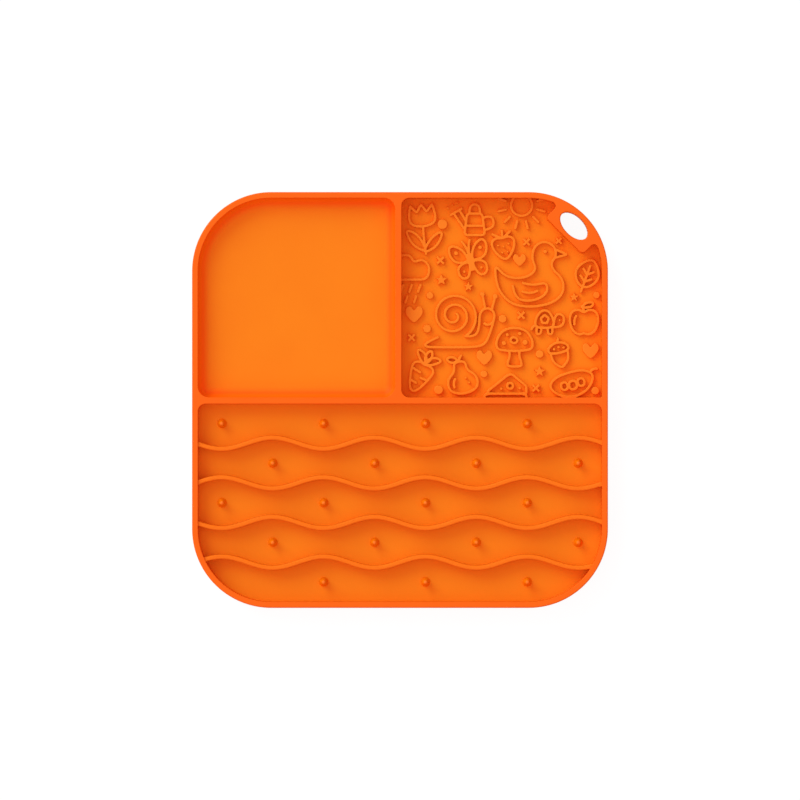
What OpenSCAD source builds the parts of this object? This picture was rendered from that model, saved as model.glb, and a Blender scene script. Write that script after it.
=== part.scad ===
// Silicone lick mat: a smooth tray, a pocket with line relief, and a field of wave ridges and nubs.
// The mat lies in the XY plane with its face up, +Y towards the hanging eye's side.
// The origin is the middle of the mat, in the plane of the suction cups' lips.

/* [Mat] */
// Side of the square mat
mat_side = 200; // [185:1:240]
// Radius of the mat's round corners
corner_r = 38; // [34:0.5:44]
// Thickness of the sheet that carries everything
sheet_t = 2; // [1.2:0.1:4]
// Height of the rim and the dividing walls above the sheet
wall_h = 8; // [7.5:0.1:14]
// Width of the outer rim
rim_w = 2.8; // [2:0.1:4]
// Width of the two dividing walls
divider_w = 3; // [2:0.1:5]

/* [Compartments] */
// Sideways place of the short wall's centre line, from the mat's middle
short_wall_x = -0.8; // [-6:0.1:6]
// Lengthwise place of the cross wall's centre line, from the mat's middle
cross_wall_y = -0.3; // [-6:0.1:6]
// Corner radius of the smooth tray, in plan
tray_corner_r = 5.5; // [5.5:0.1:10]
// Radius of the cove where the tray's walls meet its floor
cove_r = 5; // [2:0.1:5.3]
// Corner radius of the relief pocket and of the ridge field, in plan
pocket_corner_r = 3.8; // [1:0.1:7]

/* [Hanging eye] */
// Length of the oval eye
eye_long = 16.3; // [12:0.1:18]
// Width of the oval eye
eye_short = 9.2; // [6:0.1:10]
// Wall between the eye and the mat's corner
eye_wall = 2.7; // [2:0.1:4]
// Width of the tab round the eye
tab_w = 25; // [24:0.1:28]
// Web between the eye and the relief pocket
tab_web = 2.1; // [1.5:0.1:4]
// Radius of the tab's corners and of its joints with the rim
tab_corner_r = 2; // [1:0.1:3]

/* [Ridge field] */
// Height of the wave ridges above the sheet
ridge_h = 7; // [4:0.1:7.4]
// Width of the wave ridges
ridge_w = 2.2; // [1.4:0.1:3]
// How far a wave ridge swings to each side of its centre line
ridge_swing = 2.7; // [1:0.1:3.5]
// Height of the nubs above the sheet
nub_h = 6.5; // [4:0.1:7.4]
// Diameter of a nub at its foot
nub_foot_d = 5; // [4:0.1:6]
// Diameter of a nub's round tip
nub_tip_d = 2.4; // [1.6:0.1:3]
// From the rim's inner face to the middle of the nearest nub
nub_edge = 11.4; // [9:0.1:14]

/* [Line relief] */
// Height of the relief above the sheet
relief_h = 2; // [0.6:0.1:3]
// Width of the relief's lines
line_w = 1.3; // [0.8:0.1:1.6]

/* [Suction cups] */
// Diameter of a suction cup's lip
cup_d = 20; // [14:0.5:24]
// Height of the suction cups, from their lips to the sheet
cup_h = 3; // [2.4:0.1:6]
// Depth of the hollow in a suction cup
cup_hollow = 1.6; // [1:0.1:1.8]
// Diameter of a suction cup where it joins the sheet
cup_neck_d = 9; // [6:0.1:12]
// Height of the upright edge of a cup's lip
lip_edge = 0.5; // [0.3:0.1:0.8]
// Width of the flat land under a cup's lip
lip_land = 0.8; // [0.5:0.1:1.5]
// Distance between neighbouring suction cups
cup_pitch = 46; // [34:0.5:50]

/* [Hidden] */

MAT_COLOUR = [1.0, 0.42, 0.11];
FLOOR_COLOUR = [1.0, 0.50, 0.11];
RIDGE_COLOUR = [1.0, 0.45, 0.12];
CUP_COLOUR = [0.93, 0.38, 0.09];

// Counts and steps
nub_rows = 5;
nub_places = 8;
cups_across = 4;
wave_steps = 20;
eye_steps = 64;
corner_steps = 8;
tip_steps = 6;
bend_steps = 4;
fine = 96;
line_facets = 24;

// One overrun for every cut
overrun = 1;
// A length too small to see, which keeps a division safe
tiny = 0.000001;
// Width of the hairlines that the relief's lines are drawn from
hair_w = line_w / 40;

// Levels
sheet_z = cup_h;
floor_z = sheet_z + sheet_t;

// Outline of the mat and of the space inside its rim
half = mat_side / 2;
arc_mid = half - corner_r;
inner_half = half - rim_w;
inner_r = corner_r - rim_w;

// Faces of the dividing walls
tray_x = short_wall_x - divider_w / 2;
relief_x = short_wall_x + divider_w / 2;
upper_y = cross_wall_y + divider_w / 2;
field_y = cross_wall_y - divider_w / 2;

// Eye and tab, along the diagonal through the corner
diagonal = 45;
arc_mid_u = arc_mid * sqrt(2);
eye_u = arc_mid_u + corner_r - eye_wall - eye_short / 2;
tab_u = eye_u - eye_short / 2 - tab_web;

// Nubs and ridges: a channel for each row of nubs, with a ridge between each two channels
channel_l = (inner_half + field_y) / nub_rows;
nub_step = (inner_half - nub_edge) * 2 / (nub_places - 1);
nub_x0 = nub_edge - inner_half;
wave_l = 2 * nub_step;
nub_clearance = nub_foot_d / 4;

// The relief pocket's size, and the unit in which its pictures are drawn
relief_w = inner_half - relief_x;
relief_l = inner_half - upper_y;
picture_unit = min(relief_w, relief_l);

// Kinds of stroke in a relief picture
CURVE = "curve";
RING = "ring";
PATH = "path";
LOOP = "loop";
SPIRAL = "spiral";
DOT = "dot";
soft_share = 0.18;
spiral_steps = 26;

// Relief pictures. Each stroke is a kind and its points, as shares of the picture's box
duck_shares = [
    [RING, [[-0.01, 0.66], [0.12, 0.50], [0.30, 0.46], [0.48, 0.50], [0.57, 0.60], [0.50, 0.74],
        [0.54, 0.92], [0.68, 0.99], [0.82, 0.92], [0.85, 0.78], [0.77, 0.68], [0.80, 0.58],
        [0.94, 0.46], [0.95, 0.26], [0.80, 0.12], [0.50, 0.06], [0.22, 0.10], [0.05, 0.28],
        [0.00, 0.46]]],
    [PATH, [[0.831, 0.87], [1.00, 0.80], [0.826, 0.752]]],
    [CURVE, [[0.24, 0.36], [0.26, 0.18], [0.50, 0.14], [0.72, 0.24], [0.72, 0.42], [0.52, 0.36],
        [0.38, 0.40]]],
    [CURVE, [[0.38, 0.28], [0.48, 0.24], [0.58, 0.29]]],
    [DOT, [[0.69, 0.84], 0.028]],
];
snail_shares = [
    [SPIRAL, [[0.42, 0.50], 0.33, 0.05, 2.25, -60]],
    [CURVE, [[0.585, 0.215], [0.72, 0.20], [0.78, 0.34], [0.78, 0.56], [0.90, 0.62], [1.00, 0.54],
        [0.97, 0.40], [0.92, 0.24], [0.86, 0.10], [0.70, 0.06], [0.40, 0.06], [0.16, 0.06],
        [0.00, 0.07], [0.06, 0.14], [0.20, 0.20]]],
    [PATH, [[0.86, 0.60], [0.82, 0.80]]],
    [PATH, [[0.95, 0.58], [1.00, 0.77]]],
    [DOT, [[0.82, 0.80], 0.034]],
    [DOT, [[1.00, 0.77], 0.034]],
    [CURVE, [[0.97, 0.41], [0.90, 0.35], [0.85, 0.39]]],
];
mushroom_shares = [
    [RING, [[0.02, 0.46], [0.02, 0.72], [0.24, 1.02], [0.76, 1.02], [0.98, 0.72], [0.98, 0.46],
        [0.74, 0.42], [0.50, 0.41], [0.26, 0.42]]],
    [CURVE, [[0.36, 0.416], [0.39, 0.30], [0.30, 0.06], [0.34, 0.00], [0.66, 0.00], [0.70, 0.06],
        [0.61, 0.30], [0.64, 0.416]]],
    [RING, [[0.38, 0.66], [0.50, 0.60], [0.60, 0.68], [0.52, 0.78], [0.42, 0.77]]],
    [DOT, [[0.22, 0.62], 0.060]],
    [DOT, [[0.78, 0.64], 0.070]],
    [DOT, [[0.64, 0.87], 0.050]],
    [DOT, [[0.31, 0.84], 0.045]],
];
carrot_shares = [
    [RING, [[0.50, 0.00], [0.38, 0.10], [0.26, 0.44], [0.22, 0.66], [0.38, 0.74], [0.50, 0.70],
        [0.62, 0.74], [0.78, 0.66], [0.74, 0.44], [0.62, 0.10]]],
    [PATH, [[0.245, 0.525], [0.48, 0.50]]],
    [PATH, [[0.72, 0.40], [0.54, 0.38]]],
    [PATH, [[0.335, 0.245], [0.50, 0.23]]],
    [RING, [[0.48, 0.70], [0.28, 0.82], [0.16, 0.98], [0.36, 0.98], [0.50, 0.84]]],
    [RING, [[0.50, 0.72], [0.40, 0.92], [0.50, 1.12], [0.60, 0.92]]],
    [RING, [[0.52, 0.70], [0.72, 0.82], [0.84, 0.98], [0.64, 0.98], [0.50, 0.84]]],
];
apple_shares = [
    [RING, [[0.50, 0.74], [0.34, 0.86], [0.08, 0.80], [0.00, 0.50], [0.12, 0.12], [0.36, 0.00],
        [0.50, 0.08], [0.64, 0.00], [0.88, 0.12], [1.00, 0.50], [0.92, 0.80], [0.66, 0.86]]],
    [CURVE, [[0.50, 0.77], [0.49, 0.88], [0.42, 0.96]]],
    [RING, [[0.42, 0.92], [0.56, 1.09], [0.82, 1.11], [0.79, 0.96], [0.60, 0.92]]],
    [CURVE, [[0.18, 0.36], [0.16, 0.52], [0.24, 0.64]]],
];
pear_shares = [
    [RING, [[0.50, 0.86], [0.34, 0.82], [0.34, 0.60], [0.12, 0.44], [0.10, 0.14], [0.34, 0.00],
        [0.66, 0.00], [0.90, 0.14], [0.88, 0.44], [0.66, 0.60], [0.66, 0.82]]],
    [CURVE, [[0.50, 0.85], [0.50, 0.93], [0.58, 1.00]]],
    [RING, [[0.48, 0.90], [0.34, 1.02], [0.16, 0.98], [0.26, 0.86], [0.38, 0.84]]],
    [CURVE, [[0.26, 0.20], [0.24, 0.32], [0.32, 0.42]]],
    [DOT, [[0.66, 0.26], 0.035]],
    [DOT, [[0.60, 0.40], 0.030]],
];
tulip_shares = [
    [CURVE, [[0.28, 0.98], [0.22, 0.78], [0.26, 0.60], [0.50, 0.54], [0.74, 0.60], [0.78, 0.78],
        [0.72, 0.98]]],
    [PATH, [[0.28, 0.98], [0.40, 0.84], [0.50, 1.00], [0.60, 0.84], [0.72, 0.98]]],
    [CURVE, [[0.50, 0.56], [0.48, 0.34], [0.50, 0.00]]],
    [CURVE, [[0.49, 0.06], [0.28, 0.14], [0.14, 0.46], [0.20, 0.52], [0.42, 0.36], [0.49, 0.14]]],
    [CURVE, [[0.50, 0.04], [0.70, 0.08], [0.88, 0.36], [0.82, 0.42], [0.60, 0.28], [0.50, 0.12]]],
];
butterfly_shares = [
    [RING, [[0.47, 0.50], [0.36, 0.82], [0.10, 0.98], [0.00, 0.82], [0.08, 0.54], [0.32, 0.46]]],
    [RING, [[0.53, 0.50], [0.64, 0.82], [0.90, 0.98], [1.00, 0.82], [0.92, 0.54], [0.68, 0.46]]],
    [RING, [[0.47, 0.46], [0.28, 0.46], [0.12, 0.34], [0.16, 0.10], [0.34, 0.06], [0.44, 0.26]]],
    [RING, [[0.53, 0.46], [0.72, 0.46], [0.88, 0.34], [0.84, 0.10], [0.66, 0.06], [0.56, 0.26]]],
    [PATH, [[0.475, 0.25], [0.475, 0.64]]],
    [PATH, [[0.525, 0.25], [0.525, 0.64]]],
    [CURVE, [[0.495, 0.62], [0.48, 0.86], [0.40, 0.99]]],
    [CURVE, [[0.505, 0.62], [0.52, 0.86], [0.60, 0.99]]],
    [DOT, [[0.19, 0.75], 0.050]],
    [DOT, [[0.81, 0.75], 0.050]],
    [DOT, [[0.28, 0.25], 0.036]],
    [DOT, [[0.72, 0.25], 0.036]],
];
leaf_shares = [
    [RING, [[0.50, 1.04], [0.26, 0.84], [0.12, 0.54], [0.28, 0.24], [0.50, 0.14], [0.72, 0.24],
        [0.88, 0.54], [0.74, 0.84]]],
    [PATH, [[0.50, 0.00], [0.50, 0.82]]],
    [PATH, [[0.50, 0.32], [0.33, 0.45]]],
    [PATH, [[0.50, 0.32], [0.67, 0.45]]],
    [PATH, [[0.50, 0.54], [0.34, 0.67]]],
    [PATH, [[0.50, 0.54], [0.66, 0.67]]],
];
acorn_shares = [
    [RING, [[0.10, 0.60], [0.14, 0.84], [0.50, 0.98], [0.86, 0.84], [0.90, 0.60], [0.50, 0.54]]],
    [CURVE, [[0.18, 0.60], [0.18, 0.30], [0.36, 0.10], [0.50, 0.00], [0.64, 0.10], [0.82, 0.30],
        [0.82, 0.60]]],
    [PATH, [[0.51, 0.945], [0.56, 1.08]]],
    [DOT, [[0.34, 0.73], 0.05]],
    [DOT, [[0.52, 0.77], 0.05]],
    [DOT, [[0.70, 0.72], 0.05]],
];
cloud_shares = [
    [RING, [[0.16, 0.46], [0.00, 0.52], [0.02, 0.74], [0.20, 0.78], [0.24, 1.00], [0.56, 1.04],
        [0.64, 0.84], [0.84, 0.94], [1.02, 0.76], [0.96, 0.48], [0.76, 0.46], [0.46, 0.46]]],
    [PATH, [[0.40, 0.34], [0.34, 0.18]]],
    [PATH, [[0.60, 0.34], [0.54, 0.18]]],
    [PATH, [[0.80, 0.34], [0.74, 0.18]]],
    [PATH, [[0.50, 0.08], [0.45, -0.06]]],
    [PATH, [[0.70, 0.08], [0.65, -0.06]]],
];
sun_rays = 12;
sun_ring_points = 8;
sun_middle_share = 0.23;
sun_ray_shares = [0.33, 0.48];
sun_shares = concat(
    [[RING, [for (i = [0:sun_ring_points - 1])
        [0.5, 0.5] + sun_middle_share * turn(i * 360 / sun_ring_points)]]],
    [for (i = [0:sun_rays - 1])
        [PATH, [for (s = sun_ray_shares) [0.5, 0.5] + s * turn((i + 0.5) * 360 / sun_rays)]]]
);
cheese_shares = [
    [LOOP, [[0.00, 0.34], [0.62, 0.84], [1.00, 0.52], [1.00, 0.34]]],
    [LOOP, [[0.00, 0.34], [1.00, 0.34], [1.00, 0.02], [0.00, 0.02]]],
    [RING, [[0.54, 0.46], [0.68, 0.46], [0.68, 0.60], [0.54, 0.60]]],
    [DOT, [[0.40, 0.46], 0.035]],
    [DOT, [[0.84, 0.47], 0.035]],
];
pea_pod_shares = [
    [RING, [[0.00, 0.50], [0.18, 0.26], [0.50, 0.16], [0.82, 0.26], [1.00, 0.52], [0.82, 0.68],
        [0.50, 0.70], [0.18, 0.66]]],
    [RING, [[0.26, 0.36], [0.40, 0.36], [0.40, 0.52], [0.26, 0.52]]],
    [RING, [[0.43, 0.33], [0.59, 0.33], [0.59, 0.51], [0.43, 0.51]]],
    [RING, [[0.62, 0.36], [0.76, 0.36], [0.76, 0.52], [0.62, 0.52]]],
    [CURVE, [[0.925, 0.595], [1.00, 0.67], [1.08, 0.63]]],
];
watering_can_shares = [
    [LOOP, [[0.38, 0.60], [0.80, 0.60], [0.88, 0.00], [0.30, 0.00]]],
    [PATH, [[0.32, 0.14], [0.005, 0.605]]],
    [PATH, [[0.35, 0.38], [0.16, 0.70]]],
    [PATH, [[-0.08, 0.56], [0.22, 0.74]]],
    [CURVE, [[0.82, 0.48], [1.02, 0.56], [1.14, 0.38], [1.08, 0.18], [0.86, 0.14]]],
    [CURVE, [[0.44, 0.60], [0.44, 0.80], [0.59, 0.88], [0.74, 0.80], [0.74, 0.60]]],
    [PATH, [[0.335, 0.26], [0.845, 0.26]]],
    [DOT, [[-0.16, 0.76], 0.030]],
    [DOT, [[-0.04, 0.84], 0.030]],
    [DOT, [[0.10, 0.90], 0.030]],
];
turtle_shares = [
    [RING, [[0.12, 0.26], [0.14, 0.56], [0.34, 0.84], [0.58, 0.84], [0.76, 0.56], [0.78, 0.26],
        [0.46, 0.22]]],
    [CURVE, [[0.77, 0.40], [0.80, 0.62], [0.95, 0.74], [1.13, 0.64], [1.12, 0.38], [0.96, 0.24],
        [0.70, 0.265]]],
    [CURVE, [[0.18, 0.24], [0.16, 0.04], [0.24, 0.00], [0.34, 0.06], [0.34, 0.22]]],
    [CURVE, [[0.56, 0.22], [0.56, 0.06], [0.64, 0.00], [0.74, 0.04], [0.72, 0.24]]],
    [CURVE, [[0.13, 0.32], [0.04, 0.28], [0.00, 0.18]]],
    [LOOP, [[0.38, 0.40], [0.54, 0.40], [0.60, 0.56], [0.46, 0.68], [0.32, 0.56]]],
    [DOT, [[0.97, 0.50], 0.04]],
];
strawberry_shares = [
    [RING, [[0.50, 0.78], [0.26, 0.84], [0.04, 0.70], [0.10, 0.36], [0.34, 0.04], [0.50, -0.04],
        [0.66, 0.04], [0.90, 0.36], [0.96, 0.70], [0.74, 0.84]]],
    [PATH, [[0.16, 1.00], [0.50, 0.775], [0.84, 1.00]]],
    [PATH, [[0.50, 0.80], [0.54, 1.08]]],
    [DOT, [[0.29, 0.54], 0.045]],
    [DOT, [[0.71, 0.54], 0.045]],
    [DOT, [[0.50, 0.46], 0.045]],
    [DOT, [[0.41, 0.24], 0.045]],
    [DOT, [[0.61, 0.24], 0.045]],
];

// Places of the relief pictures: across, along and size as shares of the pocket, then a turn in degrees
duck_place_share = [0.650, 0.610, 0.36, 0];
snail_place_share = [0.290, 0.410, 0.36, 0];
mushroom_place_share = [0.565, 0.250, 0.19, 0];
carrot_place_share = [0.098, 0.124, 0.21, -26];
apple_place_share = [0.912, 0.388, 0.150, 0];
pear_place_share = [0.300, 0.114, 0.190, 10];
tulip_place_share = [0.110, 0.845, 0.25, 6];
butterfly_place_share = [0.345, 0.690, 0.20, 14];
leaf_place_share = [0.925, 0.610, 0.17, -20];
acorn_place_share = [0.790, 0.216, 0.135, 12];
cloud_place_share = [0.030, 0.600, 0.22, 0];
sun_place_share = [0.600, 0.965, 0.25, 0];
cheese_place_share = [0.520, 0.052, 0.21, 0];
pea_pod_place_share = [0.850, 0.080, 0.24, 14];
watering_can_place_share = [0.350, 0.905, 0.18, 0];
turtle_place_share = [0.722, 0.388, 0.145, 0];
strawberry_place_share = [0.510, 0.762, 0.130, 10];

// Fillers between the pictures: across, along and size as shares of the pocket
heart_place_shares = [[0.063, 0.418, 0.084], [0.414, 0.200, 0.076], [0.590, 0.690, 0.062],
    [0.945, 0.235, 0.078]];
star_place_shares = [[0.200, 0.590, 0.062], [0.335, 0.556, 0.052], [0.690, 0.130, 0.060],
    [0.863, 0.503, 0.050]];
cross_place_shares = [[0.195, 0.688, 0.050], [0.050, 0.300, 0.050], [0.625, 0.780, 0.046],
    [0.598, 0.412, 0.050], [0.786, 0.786, 0.042], [0.672, 0.046, 0.048]];
dot_place_shares = [[0.205, 0.870, 0.050], [0.185, 0.038, 0.046], [0.412, 0.118, 0.036],
    [0.505, 0.395, 0.040], [0.974, 0.514, 0.034], [0.690, 0.218, 0.040], [0.128, 0.345, 0.040],
    [0.142, 0.512, 0.036], [0.968, 0.034, 0.040]];
heart_shares = [[0.50, -0.06], [0.20, 0.22], [-0.06, 0.56], [0.02, 0.94], [0.30, 1.02], [0.50, 0.66],
    [0.70, 1.02], [0.98, 0.94], [1.06, 0.56], [0.80, 0.22]];
star_points = 5;
star_waist_share = 0.45;
cross_line_share = 0.26;

// A unit vector at an angle
function turn(a) = [cos(a), sin(a)];
// Points along an arc, both ends included
function arc(middle, r, from, to, steps) =
    [for (i = [0:steps]) middle + r * turn(from + (to - from) * i / steps)];
// A vector of length one, and one turned a quarter to the left
function unit(v) = v / max(norm(v), tiny);
function left_of(v) = [-v.y, v.x];
// A point turned about the origin
function turned(p, a) = [p.x * cos(a) - p.y * sin(a), p.x * sin(a) + p.y * cos(a)];
function reversed(p) = [for (i = [len(p) - 1:-1:0]) p[i]];

// A bend from a to c with its corner at b, without its last point
function bend(a, b, c) =
    [for (i = [0:bend_steps - 1]) let(t = i / bend_steps)
        (1 - t) * (1 - t) * a + 2 * t * (1 - t) * b + t * t * c];
// A smooth open line from the first point to the last, drawn by the points between
function open_curve(p) =
    let(n = len(p))
    concat(
        [for (i = [1:n - 2]) each bend(
            i == 1 ? p[0] : (p[i - 1] + p[i]) / 2, p[i],
            i == n - 2 ? p[n - 1] : (p[i] + p[i + 1]) / 2)],
        [p[n - 1]]
    );
// A smooth closed line drawn by its points
function closed_curve(p) =
    let(n = len(p))
    [for (i = [0:n - 1]) each bend((p[(i + n - 1) % n] + p[i]) / 2, p[i], (p[i] + p[(i + 1) % n]) / 2)];
// Straight runs with softened corners, open and closed
function near(p, q) = p + soft_share * (q - p);
function open_path(p) =
    let(n = len(p))
    concat(
        [p[0]],
        n < 3 ? [] : [for (i = [1:n - 2]) each concat(
            bend(near(p[i], p[i - 1]), p[i], near(p[i], p[i + 1])), [near(p[i], p[i + 1])])],
        [p[n - 1]]
    );
function closed_path(p) =
    let(n = len(p))
    [for (i = [0:n - 1]) let(a = p[(i + n - 1) % n], b = p[(i + 1) % n])
        each concat(bend(near(p[i], a), p[i], near(p[i], b)), [near(p[i], b)])];
// A spiral from the outer to the inner radius
function spiral(middle, outer, inner, turns, from) =
    let(n = round(turns * spiral_steps))
    [for (i = [0:n]) middle + (outer + (inner - outer) * i / n) * turn(from + i * turns * 360 / n)];

// A step of length one to the left of a line at point i, mitred where the line bends
function side_step(p, i, closed) =
    let(
        n = len(p),
        before = closed || i > 0 ? unit(p[i] - p[(i + n - 1) % n]) : unit(p[1] - p[0]),
        after = closed || i < n - 1 ? unit(p[(i + 1) % n] - p[i]) : unit(p[n - 1] - p[n - 2]),
        across = unit(left_of(before) + left_of(after))
    )
    across / (across * left_of(before));
function beside(p, distance, closed) =
    [for (i = [0:len(p) - 1]) p[i] + distance * side_step(p, i, closed)];

// A hairline along points, open or closed, which picture() widens to a line
module hairline(p, closed) {
    n = len(p);
    left = beside(p, hair_w / 2, closed);
    right = beside(p, -hair_w / 2, closed);
    if (closed)
        polygon(concat(left, right), [[for (i = [0:n - 1]) i], [for (i = [n:2 * n - 1]) i]]);
    else
        polygon(concat(left, reversed(right)));
}

// A point of a picture's box, placed in the relief pocket
function placed(q, place) =
    [relief_x + place[0] * relief_w, upper_y + place[1] * relief_l]
        + place[2] * picture_unit * turned(q - [0.5, 0.5], place[3]);
// One stroke of a picture, as a hairline
module stroke(kind, points, place) {
    if (kind == SPIRAL)
        hairline([for (q = spiral(points[0], points[1], points[2], points[3], points[4]))
            placed(q, place)], false);
    else {
        p = [for (q = points) placed(q, place)];
        if (kind == CURVE) hairline(open_curve(p), false);
        if (kind == RING) hairline(closed_curve(p), true);
        if (kind == PATH) hairline(open_path(p), false);
        if (kind == LOOP) hairline(closed_path(p), true);
    }
}

// A whole picture in plan
module picture(shares, place) {
    offset(r = (line_w - hair_w) / 2, $fn = line_facets)
        for (s = shares)
            if (s[0] != DOT)
                stroke(s[0], s[1], place);
    for (s = shares)
        if (s[0] == DOT)
            translate(placed(s[1][0], place))
                circle(place[2] * picture_unit * s[1][1], $fn = fine);
}

// Fillers in plan, each about its own middle, with a size across
module heart(size) {
    polygon(closed_curve([for (q = heart_shares) size * (q - [0.5, 0.5])]));
}
module star(size) {
    polygon([for (i = [0:2 * star_points - 1])
        size / 2 * (i % 2 == 0 ? 1 : star_waist_share) * turn(90 + i * 180 / star_points)]);
}
module cross(size) {
    for (a = [45, 135])
        rotate(a)
            square([size, size * cross_line_share], center = true);
}
module fillers(places, kind) {
    for (p = places)
        translate([relief_x + p[0] * relief_w, upper_y + p[1] * relief_l]) {
            size = p[2] * picture_unit;
            if (kind == "heart") heart(size);
            if (kind == "star") star(size);
            if (kind == "cross") cross(size);
            if (kind == "dot") circle(d = size, $fn = fine);
        }
}

// What stands on the sheet, from a plan
module on_sheet(height, colour) {
    color(colour)
        translate([0, 0, floor_z])
            linear_extrude(height)
                children();
}

// A square with round corners
module round_square(half_side, r) {
    square([2 * (half_side - r), 2 * half_side], center = true);
    square([2 * half_side, 2 * (half_side - r)], center = true);
    for (x = [-1, 1], y = [-1, 1])
        translate([x, y] * (half_side - r))
            circle(r, $fn = fine);
}
module mat_plan() {
    round_square(half, corner_r);
}
module inner_plan() {
    round_square(inner_half, inner_r);
}

// The oval eye
module eye_plan() {
    rotate(diagonal)
        translate([eye_u, 0])
            polygon([for (i = [0:eye_steps - 1])
                [eye_short / 2 * cos(i * 360 / eye_steps), eye_long / 2 * sin(i * 360 / eye_steps)]]);
}

// The web in the corner of two walls that meet at the origin, hollowed by a radius
module corner_web(r) {
    difference() {
        square(r);
        translate([r, r])
            circle(r, $fn = fine);
    }
}
module web_at(x, y, quarter, r) {
    translate([x, y])
        rotate(quarter * 90)
            corner_web(r);
}

// The tab's plan along the diagonal: a block with round corners towards the pocket
module tab_block() {
    corner = [tab_u + tab_corner_r, tab_w / 2 - tab_corner_r];
    polygon(concat(
        arc(corner, tab_corner_r, 90, 180, corner_steps),
        arc([corner.x, -corner.y], tab_corner_r, 180, 270, corner_steps),
        [[eye_u + corner_r, -tab_w / 2], [eye_u + corner_r, tab_w / 2]]
    ));
}
// The hollow web where the tab's side runs into the rim
module tab_joint() {
    side_v = tab_w / 2;
    round_v = side_v + tab_corner_r;
    round_u = arc_mid_u + sqrt(pow(inner_r - tab_corner_r, 2) - pow(round_v, 2));
    rim_way = atan2(round_v, round_u - arc_mid_u);
    corner_way = asin(side_v / inner_r);
    past = inner_r + overrun;
    difference() {
        polygon([
            [round_u, round_v],
            [round_u, side_v],
            [arc_mid_u + inner_r * cos(corner_way), side_v],
            [arc_mid_u, 0] + past * turn(corner_way),
            [arc_mid_u, 0] + past * turn(rim_way),
        ]);
        translate([round_u, round_v])
            circle(tab_corner_r, $fn = fine);
    }
}

module tab_plan() {
    rotate(diagonal) {
        tab_block();
        tab_joint();
        mirror([0, 1])
            tab_joint();
    }
}

// The floor of the relief pocket, clear of its walls, the rim and the tab
module pocket_plan() {
    difference() {
        intersection() {
            inner_plan();
            translate([relief_x, upper_y])
                square([relief_w, relief_l]);
        }
        tab_plan();
        web_at(relief_x, upper_y, 0, pocket_corner_r);
        web_at(relief_x, inner_half, 3, pocket_corner_r);
    }
}

module base_sheet() {
    color(FLOOR_COLOUR)
        translate([0, 0, sheet_z])
            linear_extrude(sheet_t)
                difference() {
                    mat_plan();
                    eye_plan();
                }
}

module outer_rim() {
    on_sheet(wall_h, MAT_COLOUR)
        difference() {
            mat_plan();
            inner_plan();
            eye_plan();
        }
}

module hanging_tab() {
    on_sheet(wall_h, MAT_COLOUR)
        difference() {
            intersection() {
                inner_plan();
                tab_plan();
            }
            eye_plan();
        }
}

module cross_wall() {
    on_sheet(wall_h, MAT_COLOUR) {
        translate([-inner_half, field_y])
            square([2 * inner_half, divider_w]);
        web_at(-inner_half, upper_y, 0, tray_corner_r);
        web_at(tray_x, upper_y, 1, tray_corner_r);
        web_at(relief_x, upper_y, 0, pocket_corner_r);
        web_at(-inner_half, field_y, 3, pocket_corner_r);
        web_at(inner_half, field_y, 2, pocket_corner_r);
    }
}

module short_wall() {
    on_sheet(wall_h, MAT_COLOUR) {
        translate([tray_x, upper_y])
            square([divider_w, inner_half - upper_y]);
        web_at(tray_x, inner_half, 2, tray_corner_r);
        web_at(relief_x, inner_half, 3, pocket_corner_r);
    }
}

// The cove's section, with the wall on its right and the floor under it
module cove_section() {
    mirror([1, 0])
        corner_web(cove_r);
}
module cove_run(length) {
    rotate([90, 0, 0])
        translate([0, 0, -length / 2])
            linear_extrude(length)
                cove_section();
}
module cove_corner(r) {
    rotate_extrude(angle = 90, $fn = fine)
        translate([r, 0])
            cove_section();
}
module tray_cove() {
    left = -inner_half;
    color(MAT_COLOUR)
        translate([0, 0, floor_z]) {
            translate([tray_x, (upper_y + inner_half) / 2])
                cove_run(inner_half - upper_y - 2 * tray_corner_r);
            translate([(tray_x - tray_corner_r - arc_mid) / 2, inner_half])
                rotate(90)
                    cove_run(tray_x - tray_corner_r + arc_mid);
            translate([left, (upper_y + tray_corner_r + arc_mid) / 2])
                rotate(180)
                    cove_run(arc_mid - upper_y - tray_corner_r);
            translate([(tray_x + left) / 2, upper_y])
                rotate(270)
                    cove_run(tray_x - left - 2 * tray_corner_r);
            translate([tray_x - tray_corner_r, inner_half - tray_corner_r])
                cove_corner(tray_corner_r);
            translate([-arc_mid, arc_mid])
                rotate(90)
                    cove_corner(inner_r);
            translate([left + tray_corner_r, upper_y + tray_corner_r])
                rotate(180)
                    cove_corner(tray_corner_r);
            translate([tray_x - tray_corner_r, upper_y + tray_corner_r])
                rotate(270)
                    cove_corner(tray_corner_r);
        }
}

// A wave ridge below channel i, counted from the cross wall
function ridge_y(i, x) =
    field_y - i * channel_l - (i % 2 == 1 ? 1 : -1) * ridge_swing * cos(360 * (x - nub_x0) / wave_l);
module wave_ridge(i) {
    steps = ceil(mat_side / wave_l * wave_steps);
    line = [for (s = [0:steps]) let(x = -half + mat_side * s / steps) [x, ridge_y(i, x)]];
    on_sheet(ridge_h, RIDGE_COLOUR)
        intersection() {
            inner_plan();
            polygon(concat(
                beside(line, ridge_w / 2, false),
                reversed(beside(line, -ridge_w / 2, false))
            ));
        }
}

// A nub: a steep cone with a round tip
module nub() {
    tip_r = nub_tip_d / 2;
    rotate_extrude($fn = fine)
        polygon(concat(
            [[0, 0], [nub_foot_d / 2, 0]],
            arc([0, nub_h - tip_r], tip_r, 0, 90, tip_steps)
        ));
}
// Whether a nub at p stands clear of the rim's round corners
function clear_of_rim(p) =
    norm([max(abs(p.x) - arc_mid, 0), max(abs(p.y) - arc_mid, 0)])
        < inner_r - nub_foot_d / 2 - nub_clearance;
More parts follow.
